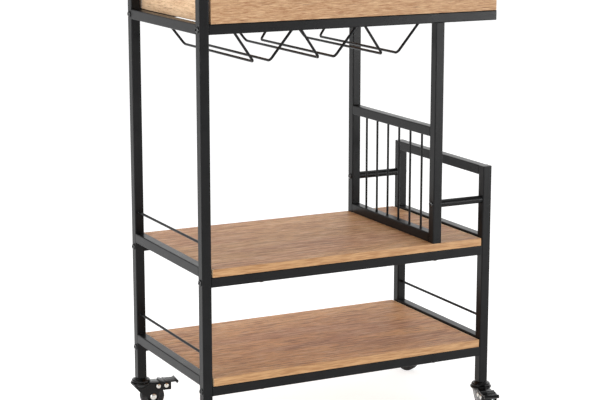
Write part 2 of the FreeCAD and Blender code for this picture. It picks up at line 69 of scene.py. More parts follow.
# ---------------------------------------------------------------- materials
def along(grain, lengthways, crossways):
    """Three factors: one for the axis that the grain runs along, another for the two across it."""
    return [lengthways if axis == grain else crossways for axis in "xyz"]


class Finish:
    """One material, with short calls for the nodes that the finishes here are made of."""

    def __init__(self, name, metallic=0.0, specular=0.5):
        self.material = bpy.data.materials.new(name)
        self.material.use_nodes = True
        self.tree = self.material.node_tree
        self.shader = self.tree.nodes["Principled BSDF"]
        self.shader.inputs["Metallic"].default_value = metallic
        self.shader.inputs["Specular IOR Level"].default_value = specular
        place = self.tree.nodes.new("ShaderNodeTexCoord")
        self.place = self.scaled(place.outputs["Object"], [1 / MM] * 3)   # in millimetres

    def node(self, kind, inputs, output=0, **settings):
        """A new node's output. Each input is a value, or another node's output to link."""
        made = self.tree.nodes.new(kind)
        for key, value in settings.items():
            setattr(made, key, value)
        for key, value in inputs.items():
            if isinstance(value, bpy.types.NodeSocket):
                self.tree.links.new(value, made.inputs[key])
            else:
                made.inputs[key].default_value = value
        return made.outputs[output]

    def scaled(self, vector, factors, offset=(0, 0, 0)):
        """vector times factors, plus offset."""
        inputs = {0: vector, 1: factors, 2: offset}
        return self.node("ShaderNodeVectorMath", inputs, operation="MULTIPLY_ADD")

    def noise(self, factors, detail=2.0, roughness=0.5, offset=(0, 0, 0)):
        """Noise whose features are about 1 / factor mm across: one factor, or one for each axis."""
        if isinstance(factors, float):
            factors = [factors] * 3
        spot = self.scaled(self.place, factors, offset)
        inputs = {"Vector": spot, "Scale": 1.0, "Detail": detail, "Roughness": roughness}
        return self.node("ShaderNodeTexNoise", inputs)

    def maths(self, operation, first, second=0.0):
        return self.node("ShaderNodeMath", {0: first, 1: second}, operation=operation)

    def ranged(self, value, low, high, to_low=0.0, to_high=1.0):
        """value, brought from the range low to high into the range to_low to to_high."""
        inputs = {0: value, 1: low, 2: high, 3: to_low, 4: to_high}
        return self.node("ShaderNodeMapRange", inputs, clamp=True)

    def mixed(self, share, first, second):
        """A colour that goes from first to second as share goes from 0 to 1."""
        inputs = {0: share, 6: first, 7: second}
        return self.node("ShaderNodeMix", inputs, output=2, data_type="RGBA")

    def bump(self, height, depth, strength, under=None):
        inputs = {"Height": height, "Distance": depth, "Strength": strength}
        if under is not None:
            inputs["Normal"] = under
        return self.node("ShaderNodeBump", inputs)

    def done(self, colour, roughness, normal=None):
        """The material, once its colour, roughness and normal are in place."""
        for key, value in (("Base Color", colour), ("Roughness", roughness), ("Normal", normal)):
            if isinstance(value, bpy.types.NodeSocket):
                self.tree.links.new(value, self.shader.inputs[key])
            elif value is not None:
                self.shader.inputs[key].default_value = value
        return self.material


def paint(red, green, blue):
    """A colour given as it looks on a screen, from 0 to 255, as the shader's linear one."""
    def linear(value):
        share = value / 255
        return share / 12.92 if share <= 0.04045 else ((share + 0.055) / 1.055) ** 2.4
    return (linear(red), linear(green), linear(blue), 1.0)


def powder_coat():
    """Satin black powder coat: a fine orange peel, with slightly uneven sheen."""
    look = Finish("powder_coat_black")
    look.shader.inputs["IOR"].default_value = 1.27
    peel = look.noise(0.9)
    grit = look.noise(4.0, detail=1.0)
    cloud = look.noise(0.03, detail=3.0)
    colour = look.mixed(look.ranged(cloud, 0.3, 0.7), paint(12, 12, 13), paint(19, 19, 20))
    speck = look.ranged(grit, 0.68, 0.80)
    colour = look.mixed(speck, colour, paint(40, 40, 42))
    roughness = look.ranged(look.maths("ADD", peel, cloud), 0.7, 1.3, 0.26, 0.36)
    normal = look.bump(peel, 0.04 * MM, 0.5)
    normal = look.bump(grit, 0.01 * MM, 0.5, normal)
    return look.done(colour, roughness, normal)


GOLDEN = (paint(214, 166, 117), paint(199, 149, 102))
ROSY = (paint(208, 156, 116), paint(188, 135, 96))
# Painted light: this pair is paler than SANDY so that the tray's side panels look lit from the left.
PALE_PAINTED_LIT = (paint(224, 192, 155), paint(210, 176, 139))
# Painted light: this pair is brighter than GOLDEN to offset the shade that the mid shelf casts on the
# lower shelf.
STRAW_PAINTED_LIT = (paint(226, 173, 119), paint(212, 156, 105))
SANDY = (paint(193, 156, 119), paint(180, 141, 105))
DEEP = paint(146, 100, 69)


def oak(name, grain, seed, rosy=0.5, figure=0.15, marks=0.0, heart=0.0, base=GOLDEN, size=1.0,
        bold=1.0):
    """Light oak with its grain along an axis.

    rosy is how much of the face is in the pinker, greyer bands, figure how dark the growth rings
    are, and marks how dark the saw marks across the grain are. base is the main pair of colours,
    size scales the grain, and bold is how strongly its streaks stand out. The growth rings are
    cones round a pith that lies off the board, heart across the grain, and leans along it, so a
    face cuts them in long arches.
    """
    look = Finish(name, specular=0.16)
    axis = "xyz".index(grain)
    shift = (seed * 17.3, seed * 31.7, seed * 23.9)

    def grained(length, width, detail=2.0, roughness=0.5):
        """Noise with features of this length along the grain and this width across it, in mm."""
        factors = along(grain, 1 / (length * size), 1 / (width * size))
        return look.noise(factors, detail, roughness, shift)

    pith_depth = 70.0
    pith_lean = 0.12
    ring_width = 7.0
    parts = look.node("ShaderNodeSeparateXYZ", {0: look.place}).node.outputs
    across, height = [parts[index] for index in range(3) if index != axis]
    sway = look.ranged(grained(260, 90), 0, 1, -40, 40)
    ripple = look.ranged(grained(60, 9, 3.0), 0, 1, -3, 3)
    across = look.maths("ADD", look.maths("SUBTRACT", across, heart), look.maths("ADD", sway, ripple))
    lean = look.maths("ADD", look.maths("MULTIPLY", parts[axis], pith_lean), height)
    depth = look.maths("ADD", lean, pith_depth)
    radial = look.node("ShaderNodeCombineXYZ", {0: across, 1: depth, 2: 0.0})
    distance = look.node("ShaderNodeVectorMath", {0: radial}, output=1, operation="LENGTH")
    rings = look.maths("FRACT", look.maths("DIVIDE", distance, ring_width))
    late = look.maths("MULTIPLY", look.ranged(rings, 0.2, 0.9), look.ranged(rings, 1.0, 0.9))
    late = look.maths("MULTIPLY", late, look.ranged(grained(120, 25), 0.35, 0.65, 0.2, 1.0))

    gold = look.mixed(look.ranged(grained(160, 12, 3.0), 0.4, 0.6), *base)
    rose = look.mixed(look.ranged(grained(140, 11, 3.0), 0.4, 0.6), *ROSY)
    rose_from = 0.62 - 0.3 * rosy
    colour = look.mixed(look.ranged(grained(420, 60), rose_from, rose_from + 0.1), gold, rose)
    colour = look.mixed(look.maths("MULTIPLY", late, figure), colour, DEEP)

    streak = grained(54, 3.6, 3.0, 0.6)
    fibre = grained(26, 1.6, 3.0, 0.6)
    dash = grained(30, 3.0, 1.0)
    crack = grained(90, 2.4)
    # each layer: its noise, where it starts and where it is full, how much it covers, its colour
    layers = (
        (streak, 0.52, 0.62, 0.78 * bold, DEEP),
        (streak, 0.47, 0.37, 0.75 * bold, paint(222, 186, 150)),
        (fibre, 0.52, 0.66, 0.60 * bold, DEEP),
        (fibre, 0.46, 0.34, 0.55 * bold, paint(226, 192, 154)),
        (dash, 0.62, 0.69, 0.55, paint(140, 88, 60)),
        (crack, 0.665, 0.70, 0.70, paint(96, 70, 52)),
    )
    for pattern, low, full, cover, tint in layers:
        colour = look.mixed(look.ranged(pattern, low, full, 0.0, cover), colour, tint)
    pore = look.ranged(grained(9, 0.35, 1.0), 0.62, 0.70, 0.0, 0.4)
    colour = look.mixed(pore, colour, paint(112, 80, 58))
    if marks:
        lines = look.ranged(look.noise(along(grain, 1 / 1.6, 1 / 16.0), offset=shift), 0.60, 0.72)
        spots = look.ranged(look.noise(0.5, detail=1.0, offset=shift), 0.45, 0.6)
        patches = look.ranged(grained(50, 90), 0.5, 0.6)
        saw = look.maths("MULTIPLY", look.maths("MULTIPLY", lines, spots), patches)
        colour = look.mixed(look.maths("MULTIPLY", saw, marks), colour, paint(120, 92, 70))
    sheen = look.ranged(fibre, 0.3, 0.7, 0.42, 0.56)
    normal = look.bump(fibre, 0.05 * MM, 0.5)
    normal = look.bump(pore, -0.06 * MM, 0.5, normal)
    return look.done(colour, sheen, normal)


def edge_band(name, grain, pale, dark, seed):
    """A thin edge strip with straight, close grain along an axis."""
    look = Finish(name, specular=0.25)
    shift = (seed * 11.1, seed * 7.7, seed * 5.3)
    streak = look.noise(along(grain, 0.03, 0.4), detail=4.0, roughness=0.6, offset=shift)
    fibre = look.noise(along(grain, 0.03, 1.6), detail=3.0, offset=shift)
    share = look.maths("ADD", look.maths("MULTIPLY", streak, 0.7), look.maths("MULTIPLY", fibre, 0.3))
    colour = look.mixed(look.ranged(share, 0.42, 0.60), pale, dark)
    roughness = look.ranged(fibre, 0.3, 0.7, 0.42, 0.52)
    return look.done(colour, roughness, look.bump(fibre, 0.03 * MM, 0.4))


def gloss_black(name, low, high, roughness, scratch, specular=0.22):
    """Black gloss, of the casters' paint or the bolts, with faint clouding and hairline scratches."""
    look = Finish(name, specular=specular)
    cloud = look.noise(0.12, detail=3.0)
    colour = look.mixed(look.ranged(cloud, 0.3, 0.7), low, high)
    hair = look.noise((0.4, 6.0, 1.5), roughness=0.7)
    line = look.ranged(hair, 0.66, 0.72)
    colour = look.mixed(look.maths("MULTIPLY", line, scratch), colour, paint(90, 90, 92))
    sheen = look.ranged(cloud, 0.3, 0.7, roughness, roughness + 0.08)
    return look.done(colour, sheen, look.bump(look.noise(1.2), 0.02 * MM, 0.4))


def rubber():
    """Dull black rubber with a fine grain and a little pale dust."""
    look = Finish("tyre_rubber", specular=0.3)
    grain = look.noise(2.2, detail=3.0)
    dust = look.noise(0.15, detail=3.0)
    colour = look.mixed(look.ranged(dust, 0.45, 0.7, 0.0, 0.6), paint(30, 30, 31), paint(58, 57, 56))
    return look.done(colour, look.ranged(grain, 0.3, 0.7, 0.62, 0.8), look.bump(grain, 0.05 * MM, 0.5))


def moulded_plastic():
    """Dark grey plastic with a moulded grain."""
    look = Finish("hub_plastic", specular=0.4)
    grain = look.noise(3.0)
    cloud = look.noise(0.1)
    colour = look.mixed(look.ranged(cloud, 0.3, 0.7), paint(34, 34, 35), paint(44, 44, 45))
    return look.done(colour, look.ranged(grain, 0.3, 0.7, 0.45, 0.58), look.bump(grain, 0.03 * MM, 0.4))


def bare_metal(name, bright, dull, low, high):
    """Plated or polished steel: fine turning marks and a slightly clouded sheen."""
    look = Finish(name, metallic=1.0)
    brush = look.noise((0.3, 0.3, 5.0), detail=3.0)
    cloud = look.noise(0.25, detail=3.0)
    colour = look.mixed(look.ranged(cloud, 0.3, 0.7), bright, dull)
    sheen = look.ranged(look.maths("ADD", brush, cloud), 0.7, 1.3, low, high)
    return look.done(colour, sheen, look.bump(brush, 0.01 * MM, 0.4))


COAT = powder_coat()
SHELF_OAK = {
    "mid": oak("shelf_oak_mid", "x", 1.0, rosy=0.55, heart=40.0),
    # the lower shelf's brighter oak is painted light that cancels the mid shelf's shade
    "lower": oak("shelf_oak_lower_painted_lit", "x", 4.0, rosy=0.4, heart=-60.0, base=STRAW_PAINTED_LIT),
}
BAND_X = edge_band("edge_band_long", "x", paint(200, 157, 112), paint(166, 121, 80), 2.0)
# Painted highlight: the end bands are much paler than the long ones so that the shelves' end edges show a
# light line.
BAND_Y_PAINTED_HIGHLIGHT = edge_band("edge_band_short_painted_highlight", "y", paint(240, 210, 170), paint(226, 190, 148), 3.0)
TRAY_OAK_X = oak("tray_oak_long", "x", 6.0, rosy=-0.1, figure=0.08, marks=0.3, heart=850.0,
                 base=SANDY, size=0.5, bold=0.7)
# The side panels' oak is a paler copy of the front and rear panels' oak. The paleness is painted light for
# their lit faces.
TRAY_OAK_Y_PAINTED_LIT = oak("tray_oak_short_painted_lit", "y", 7.0, rosy=-0.6, figure=0.05, marks=0.8, heart=850.0,
                 base=PALE_PAINTED_LIT, size=0.5, bold=0.6)
TRAY_FLOOR = oak("tray_oak_floor", "x", 9.0, rosy=0.3, heart=20.0)
CASTER_PAINT = gloss_black("caster_paint", paint(6, 6, 6), paint(11, 11, 11), 0.10, 0.25)
PEDAL_PAINT = gloss_black("pedal_paint", paint(7, 7, 7), paint(14, 14, 14), 0.14, 0.35)
RUBBER = rubber()
HUB_PLASTIC = moulded_plastic()
BLACK_STEEL = gloss_black("blackened_steel", paint(8, 8, 9), paint(14, 14, 15), 0.1, 0.2, 0.75)
ZINC = bare_metal("zinc_plate", paint(198, 198, 192), paint(172, 172, 166), 0.25, 0.42)
RIVET = bare_metal("rivet_steel", paint(226, 225, 220), paint(205, 204, 198), 0.22, 0.38)
BALL_STEEL = bare_metal("ball_steel", paint(235, 235, 235), paint(225, 225, 226), 0.06, 0.12)
BEECH = edge_band("dowel_beech", "y", paint(214, 178, 138), paint(190, 150, 110), 5.0)


# ---------------------------------------------------------------- mesh helpers
def eased(points, steps=4):
    """An outline whose corners are rounded. Each point is (x, y) or (x, y, radius)."""
    outline = []
    count = len(points)
    for index, point in enumerate(points):
        here = Vector(point[:2])
        radius = point[2] if len(point) > 2 else 0.0
        if radius <= 0:
            outline.append(here)
            continue
        back = (Vector(points[index - 1][:2]) - here).normalized()
        on = (Vector(points[(index + 1) % count][:2]) - here).normalized()
        half = back.angle(on) / 2
        reach = radius / math.tan(half)
        centre = here + (back + on).normalized() * (radius / math.sin(half))
        start = here + back * reach - centre
        end = here + on * reach - centre
        sweep = start.angle_signed(end)
        for step in range(steps + 1):
            outline.append(centre + Matrix.Rotation(-sweep * step / steps, 2) @ start)
    return outline


def circle(x, y, radius, steps=24):
    turns = [2 * math.pi * step / steps for step in range(steps)]
    return [Vector((x + radius * math.cos(turn), y + radius * math.sin(turn))) for turn in turns]


def wrapped(circles, steps=8):
    """The outline of a belt round circles (x, y, radius), given anticlockwise."""
    outline = []
    normals = []
    for (ax, ay, ar), (bx, by, br) in zip(circles, circles[1:] + circles[:1]):
        lean = math.acos((ar - br) / math.hypot(bx - ax, by - ay))
        normals.append(math.atan2(by - ay, bx - ax) - lean)
    for index, (x, y, radius) in enumerate(circles):
        first = normals[index - 1]
        sweep = (normals[index] - first) % (2 * math.pi)
        for step in range(steps + 1):
            angle = first + sweep * step / steps
            outline.append(Vector((x + radius * math.cos(angle), y + radius * math.sin(angle))))
    return outline


def block(low, high, ease, segments=2):
    """A box with every edge eased."""
    mesh = bmesh.new()
    size = Vector(high) - Vector(low)
    bmesh.ops.create_cube(mesh, size=1.0)
    bmesh.ops.scale(mesh, vec=size, verts=mesh.verts)
    bmesh.ops.translate(mesh, vec=(Vector(low) + Vector(high)) / 2, verts=mesh.verts)
    bmesh.ops.bevel(mesh, geom=mesh.edges[:], offset=ease, segments=segments, affect="EDGES", profile=0.5)
    return mesh


def bridge(mesh, first, second):
    """Faces between two closed rings with the same number of vertices."""
    for step in range(len(first)):
        after = (step + 1) % len(first)
        mesh.faces.new((first[step], first[after], second[after], second[step]))


def turned(profile, segments=48):
    """A closed outline of (radius, height) points, turned about Z."""
    mesh = bmesh.new()
    rings = []
    for radius, height in profile:
        if radius < 1e-7:
            rings.append([mesh.verts.new((0, 0, height))])
            continue
        ring = []
        for step in range(segments):
            angle = 2 * math.pi * step / segments
            ring.append(mesh.verts.new((radius * math.cos(angle), radius * math.sin(angle), height)))
        rings.append(ring)
    for first, second in zip(rings, rings[1:] + rings[:1]):
        if len(first) == len(second):
            if len(first) > 1:
                bridge(mesh, first, second)
            continue
        tip, rim = (first[0], second) if len(first) == 1 else (second[0], first)
        for step in range(segments):
            mesh.faces.new((tip, rim[(step + 1) % segments], rim[step]))
    bmesh.ops.recalc_face_normals(mesh, faces=mesh.faces)
    return mesh


def from_curve(curve):
    """The mesh of a curve, which is removed."""
    holder = bpy.data.objects.new("curve", curve)
    made = bpy.data.meshes.new_from_object(holder)
    mesh = bmesh.new()
    mesh.from_mesh(made)
    bpy.data.objects.remove(holder)
    bpy.data.curves.remove(curve)
    bpy.data.meshes.remove(made)
    return mesh


def plate(outlines, thickness, ease):
    """A flat plate on XY, centred on Z = 0. The first outline is its edge, the others are holes."""
    curve = bpy.data.curves.new("plate", "CURVE")
    curve.dimensions = "2D"
    curve.fill_mode = "BOTH"
    curve.extrude = thickness / 2 - ease
    curve.bevel_depth = ease
    curve.bevel_resolution = 1
    curve.offset = -ease
    for outline in outlines:
        spline = curve.splines.new("POLY")
        spline.points.add(len(outline) - 1)
        for point, spot in zip(spline.points, outline):
            point.co = (spot[0], spot[1], 0, 1)
        spline.use_cyclic_u = True
    mesh = from_curve(curve)
    bmesh.ops.remove_doubles(mesh, verts=mesh.verts, dist=0.0005 * MM)
    bmesh.ops.recalc_face_normals(mesh, faces=mesh.faces)
    return mesh


def button_head(radius, height, socket, shank, length, ridge_from):
    """A button-head bolt along -Z under Z = 0, with a hex socket and a ridged thread."""
    across = 24
    pitch = MM
    root = 0.84 * shank
    plain = 0.98 * shank
    mesh = bmesh.new()

    def ring(size, level, hexagon=0.0):
        """A ring of vertices: a circle, or a hexagon whose corners are size from the middle."""
        made = []
        for step in range(across):
            angle = 2 * math.pi * step / across
            facet = math.cos(math.pi / 6) / math.cos((angle % (math.pi / 3)) - math.pi / 6)
            reach = size * (1 - hexagon + hexagon * facet)
            made.append(mesh.verts.new((reach * math.cos(angle), reach * math.sin(angle), level)))
        return made

    rings = []
    level = -length + 0.6 * MM
    while level < -ridge_from:
        rings.append(ring(shank, level))
        rings.append(ring(root, level + pitch / 2))
        level += pitch
    rings.append(ring(plain, -ridge_from))
    rings.append(ring(plain, 0))
    rings.append(ring(radius * 0.96, 0))
    rings.append(ring(radius, 0.12 * height))
    foot = math.radians(12)
    crest = math.radians(70)
    rise = math.sin(crest) - math.sin(foot)
    for share in (0.0, 0.2, 0.4, 0.6, 0.8):
        angle = foot + (crest - foot) * share
        level = 0.3 + 0.7 * (math.sin(angle) - math.sin(foot)) / rise
        rings.append(ring(radius * math.cos(angle) / math.cos(foot), height * level))
    rings.append(ring(socket * 1.12, height))
    rings.append(ring(socket, 0.93 * height, 1.0))
    rings.append(ring(socket, 0.35 * height, 1.0))
    rings.append(ring(socket * 0.3, 0.25 * height, 1.0))
    for first, second in zip(rings, rings[1:]):
        bridge(mesh, first, second)
    mesh.faces.new(rings[-1])
    mesh.faces.new(rings[0][::-1])
    bmesh.ops.recalc_face_normals(mesh, faces=mesh.faces)
    return mesh


def bead(start, end, radius, pitch, seed):
    """A lumpy weld bead from start to end."""
    mesh = bmesh.new()
    start = Vector(start)
    span = Vector(end) - start
    steps = max(6, int(span.length / pitch) * 4)
    side = span.orthogonal().normalized()
    up = span.cross(side).normalized()
    around = 8
    rings = []
    for step in range(steps + 1):
        share = step / steps
        taper = min(1.0, 6 * share + 0.25, 6 * (1 - share) + 0.25)
        ripple = 1 + 0.14 * math.cos(2 * math.pi * share * span.length / pitch)
        wobble = 1 + 0.2 * noise.noise(Vector((seed * 3.1, share * 9, 0)))
        size = radius * taper * ripple * wobble
        ring = []
        for index in range(around):
            angle = 2 * math.pi * index / around
            outward = side * math.cos(angle) + up * math.sin(angle)
            ring.append(mesh.verts.new(start + span * share + outward * size))
        rings.append(ring)
    for first, second in zip(rings, rings[1:]):
        bridge(mesh, first, second)
    mesh.faces.new(rings[0][::-1])
    mesh.faces.new(rings[-1])
    bmesh.ops.recalc_face_normals(mesh, faces=mesh.faces)
    return mesh


class Piece:
    """A visible piece, gathered from simple meshes, that rides on one body."""

    def __init__(self, name, body, slot, finishes):
        self.name = name
        self.body = body
        self.slot = slot
        self.finishes = finishes
        self.mesh = bmesh.new()

    def add(self, part, place=None, finish=0):
        """Take in a part, put at a place, in one of the piece's finishes."""
        for face in part.faces:
            face.material_index = finish
            face.smooth = True
        if place is not None:
            part.transform(place)
        holder = bpy.data.meshes.new("part")
        part.to_mesh(holder)
        part.free()
        self.mesh.from_mesh(holder)
        bpy.data.meshes.remove(holder)
        return self

    def finish(self, *nodes):
        """Put the piece in the scene on its body, in place of the CAD nodes that it stands for."""
        data = bpy.data.meshes.new(self.name)
        self.mesh.to_mesh(data)
        self.mesh.free()
        data.set_sharp_from_angle(angle=math.radians(35))
        for material in self.finishes:
            data.materials.append(material)
        made = bpy.data.objects.new(self.name, data)
        bpy.context.scene.collection.objects.link(made)
        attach(made, self.body)
        if nodes:
            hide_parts(*nodes)
        return made


def towards(direction, spot):
    """The placement that points +Z of a part in a direction and sets it down at a spot."""
    turn = Vector(direction).to_track_quat("Z", "Y").to_matrix().to_4x4()
    return Matrix.Translation(Vector(spot)) @ turn


# ---------------------------------------------------------------- CAD nodes that keep their shape
def coat_frame():
    """Powder coat on every CAD node, except the few that are bare steel, zinc or beech."""
    kept = {
        "threaded_inserts": ZINC,
        "swivel_balls": BALL_STEEL,
        "tray_dowels": BEECH,
    }
    for name, node in frame["nodes"].items():
        material = kept.get(name, COAT)
        node.data.materials.clear()
        node.data.materials.append(material)


# ---------------------------------------------------------------- boards and tray
def shelves():
    """Each shelf is a faced core with a thin band on its long edges and a thicker one on its ends. The end
    bands are paler, a painted highlight along the end edges.
    """
    band = 0.9 * MM
    end_band = 2.2 * MM
    ease = 0.4 * MM
    sink = Vector((0, 0, 0.02 * MM))             # the bands stand this far below the faces
    inset = Vector((end_band, band, 0))
    for tier, node in (("mid", "mid_shelf_board"), ("lower", "lower_shelf_board")):
        low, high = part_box(node)
        piece = Piece(f"{tier}_shelf", "frame", "shelf_oak", [SHELF_OAK[tier], BAND_X, BAND_Y_PAINTED_HIGHLIGHT])
        piece.add(block(low + inset, high - inset, 0.12 * MM, 1))
        for near, far in ((low.y, low.y + band), (high.y - band, high.y)):
            strip = block(Vector((low.x, near, low.z)) + sink, Vector((high.x, far, high.z)) - sink, ease)
            piece.add(strip, finish=1)
        first, last = low + Vector((0, band, 0)), high - Vector((0, band, 0))
        for near, far in ((low.x, low.x + end_band), (high.x - end_band, high.x)):
            strip = block(Vector((near, *first.yz)) + sink, Vector((far, *last.yz)) - sink, ease)
            piece.add(strip, finish=2)
        piece.finish(node)


def tray():
    """Four eased panels, two with grip holes, and a floor."""
    ease = 1.2 * MM
    for side in ("front", "rear"):
        node = f"tray_{side}_panel"
        low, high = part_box(node)
        piece = Piece(f"tray_{side}", "tray", "tray_oak", [TRAY_OAK_X])
        piece.add(block(low, high, ease, 3)).finish(node)

    grip_length = 90 * MM
    grip_height = 24 * MM
    grip_below_top = 32 * MM
    upright = Matrix(((0, 0, 1, 0), (1, 0, 0, 0), (0, 1, 0, 0), (0, 0, 0, 1)))   # lays XY onto YZ
    for side in ("left", "right"):
        node = f"tray_{side}_panel"
        low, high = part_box(node)
        half = (high - low) / 2
        edge = eased([(-half.y, -half.z, ease), (half.y, -half.z, ease),
                      (half.y, half.z, ease), (-half.y, half.z, ease)])
        reach = grip_length / 2
        radius = grip_height / 2 - 0.01 * MM
        under = half.z - grip_below_top - grip_height / 2
        over = under + grip_height
        grip = eased([(-reach, under, radius), (-reach, over, radius),
                      (reach, over, radius), (reach, under, radius)], 10)
        place = Matrix.Translation((low + high) / 2) @ upright
        # the side panels take the paler oak, which is painted light
        piece = Piece(f"tray_{side}", "tray", "tray_oak", [TRAY_OAK_Y_PAINTED_LIT])
        piece.add(plate([edge, grip], 2 * half.x, ease), place).finish(node)

    low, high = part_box("tray_floor_panel")
    piece = Piece("tray_floor", "tray", "tray_oak", [TRAY_FLOOR])
    piece.add(block(low, high, 0.3 * MM)).finish("tray_floor_panel")


# ---------------------------------------------------------------- fasteners and welds
def frame_bolts():
    """Button-head bolts through the posts, into the long rails and the bottle bars."""
    piece = Piece("frame_bolts", "frame", "bolt_black", [BLACK_STEEL])
    head_radius = 6.2 * MM
    head_height = 3.4 * MM
    socket = 2.4 * MM
    thread_radius = 2.95 * MM
    length = TUBE + 14 * MM

    def bolt(direction, spot):
        made = button_head(head_radius, head_height, socket, thread_radius, length, TUBE)
        piece.add(made, towards(direction, spot))

    bars_level = middle("bottle_bars").z
    for side in ("front", "rear"):
        left = POST_AT[f"left_{side}"]
        right = POST_AT[f"right_{side}"]
        divider = DIVIDER_AT[side]
        for tier in ("lower", "mid", "top"):
            level = middle(f"{tier}_{side}_rail").z
            bolt((-1, 0, 0), (left.x - TUBE / 2, left.y, level))
            if tier != "top":
                bolt((1, 0, 0), (right.x + TUBE / 2, right.y, level))
        bolt((1, 0, 0), (right.x + TUBE / 2, right.y, bars_level))
        bolt((-1, 0, 0), (divider.x - TUBE / 2, divider.y, bars_level))
    piece.finish("frame_bolts")


def board_screws():
    """Pan-head screws up through the long rails into the shelves, and the divider's bolts."""
    screws = Piece("board_screws", "frame", "bolt_black", [BLACK_STEEL])
    ties = Piece("divider_bolts", "frame", "bolt_black", [BLACK_STEEL])
    pan = (6.0 * MM, 2.5 * MM, 2.2 * MM)         # the head's radius, its height and its socket
    small = (4.5 * MM, 3.4 * MM, 2.0 * MM)
    tie_radius = 2.45 * MM
    screw_radius = 1.95 * MM
    tie_length = TUBE + 23 * MM          # through the rail and the shelf, into the divider
    screw_length = TUBE + 11 * MM        # through the rail, into the shelf
    top_length = 9.2 * MM                # down through the top rail's wall, into the divider
    wall = 1.2 * MM                      # of the rail's tube
    away = DIVIDER_AT["front"].x
    for side in ("front", "rear"):
        y = DIVIDER_AT[side].y
        for tier in ("lower", "mid"):
            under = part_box(f"{tier}_{side}_rail")[0].z
            for x in (-away, away):
                if tier == "mid" and x > 0:
                    made = button_head(*pan, tie_radius, tie_length, TUBE)
                    ties.add(made, towards((0, 0, -1), (x, y, under)))
                else:
                    made = button_head(*pan, screw_radius, screw_length, TUBE)
                    screws.add(made, towards((0, 0, -1), (x, y, under)))
        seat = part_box(f"top_{side}_rail")[0].z + wall
        made = button_head(*small, tie_radius, top_length, wall)
        ties.add(made, towards((0, 0, 1), (away, y, seat)))
    screws.finish("board_screws")
    ties.finish("divider_bolts")


def welds():
    """Small beads in the corners of the welded rails, and collars at the ends of the thin rods."""
    piece = Piece("weld_beads", "frame", "frame_black", [COAT])
    half = TUBE / 2 - 2.2 * MM
    seeds = itertools.count(1)

    def weld(start, end):
        piece.add(bead(start, end, 0.9 * MM, 1.9 * MM, next(seeds)))

    lower, upper = 0, 1
    both = (lower, upper)
    welded_faces = {
        "push_handle_bar": (lower,),
        "left_top_rail": both,
        "left_mid_rail": both,
        "left_lower_rail": both,
        "right_end_rail": (lower,),
        "right_mid_rail": both,
        "right_lower_rail": both,
        "divider_top_rail": both,
        "divider_bottom_rail": (upper,),
    }
    for name, faces in welded_faces.items():
        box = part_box(name)
        x = (box[0].x + box[1].x) / 2
        for face in faces:
            z = box[face].z
            for y in (box[0].y, box[1].y):
                weld((x - half, y, z), (x + half, y, z))
    low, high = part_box("top_right_rail")
    z = (low.z + high.z) / 2
    for y in (low.y, high.y):
        weld((low.x, y, z - half), (low.x, y, z + half))

    def collar(direction, spot, rod):
        outline = [(0, -0.1 * MM), (rod + 1.1 * MM, -0.1 * MM), (rod + 0.95 * MM, 0.35 * MM),
                   (rod + 0.45 * MM, 0.9 * MM), (rod + 0.05 * MM, 1.3 * MM), (0, 1.3 * MM)]
        piece.add(turned(outline, 16), towards(direction, spot))

    low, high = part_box("divider_bars")
    bar = (high.x - low.x) / 2
    bars = 6
    pitch = (high.y - low.y - 2 * bar) / (bars - 1)
    for index in range(bars):
        x = (low.x + high.x) / 2
        y = low.y + bar + index * pitch
        collar((0, 0, 1), (x, y, low.z), bar)
        collar((0, 0, -1), (x, y, high.z), bar)
    low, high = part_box("guard_rods")
    rod = 2.5 * MM
    left, right = low.x + rod, high.x - rod
    under, over = low.z + rod, high.z - rod
    for x, z in ((left, over), (left, under), (right, under)):
        collar((0, 1, 0), (x, low.y, z), rod)
        collar((0, -1, 0), (x, high.y, z), rod)
    piece.finish()


# ---------------------------------------------------------------- casters
def caster_place(corner):
    """The placement of a caster's own frame: +X along its trail, its origin on the floor."""
    swivel = Vector(JOINTS[f"{corner}_swivel_turn"]["pos_m"])
    axle = Vector(JOINTS[f"{corner}_wheel_spin"]["pos_m"])
    trail = axle - swivel
    heading = math.atan2(trail.y, trail.x)
    return Matrix.Translation((swivel.x, swivel.y, 0)) @ Matrix.Rotation(heading, 4, "Z")


# Millimetres in a caster's own frame: X along the trail, Y across it and Z above the floor.
TRAIL = 22.5                 # from the swivel axis to the wheel's axle
WHEEL = 24.0                 # the wheel's radius, and so its axle's height
AXLE_R = 4.0
LEG_INSIDE = 11.3            # from the wheel's middle plane to a leg of the fork
LEG = 2.0
LEG_OUTSIDE = LEG_INSIDE + LEG
PIVOT = (33.0, 46.0)         # the pedal's pivot
PIVOT_R = 2.5
AXLE_HEAD_R = 6.5            # the rivets' heads, on the axle and on the pivots
PIVOT_HEAD_R = 4.8
PIVOT_PLAY = 0.3             # between the pedal and the pivot rivet's head
FLANGE_INSIDE = 13.7         # from the wheel's middle plane to a flange of the pedal
FLANGE = 1.5
FLANGE_OUTSIDE = FLANGE_INSIDE + FLANGE
FORK_TOP = ((8.0, 51.5), (35.0, 53.7))       # opposite corners of the fork's flat top
SHOE = ((43.8, 40.8), (53.0, 47.0))          # and of the brake shoe
SHOE_PIN = (49.5, 46.0)
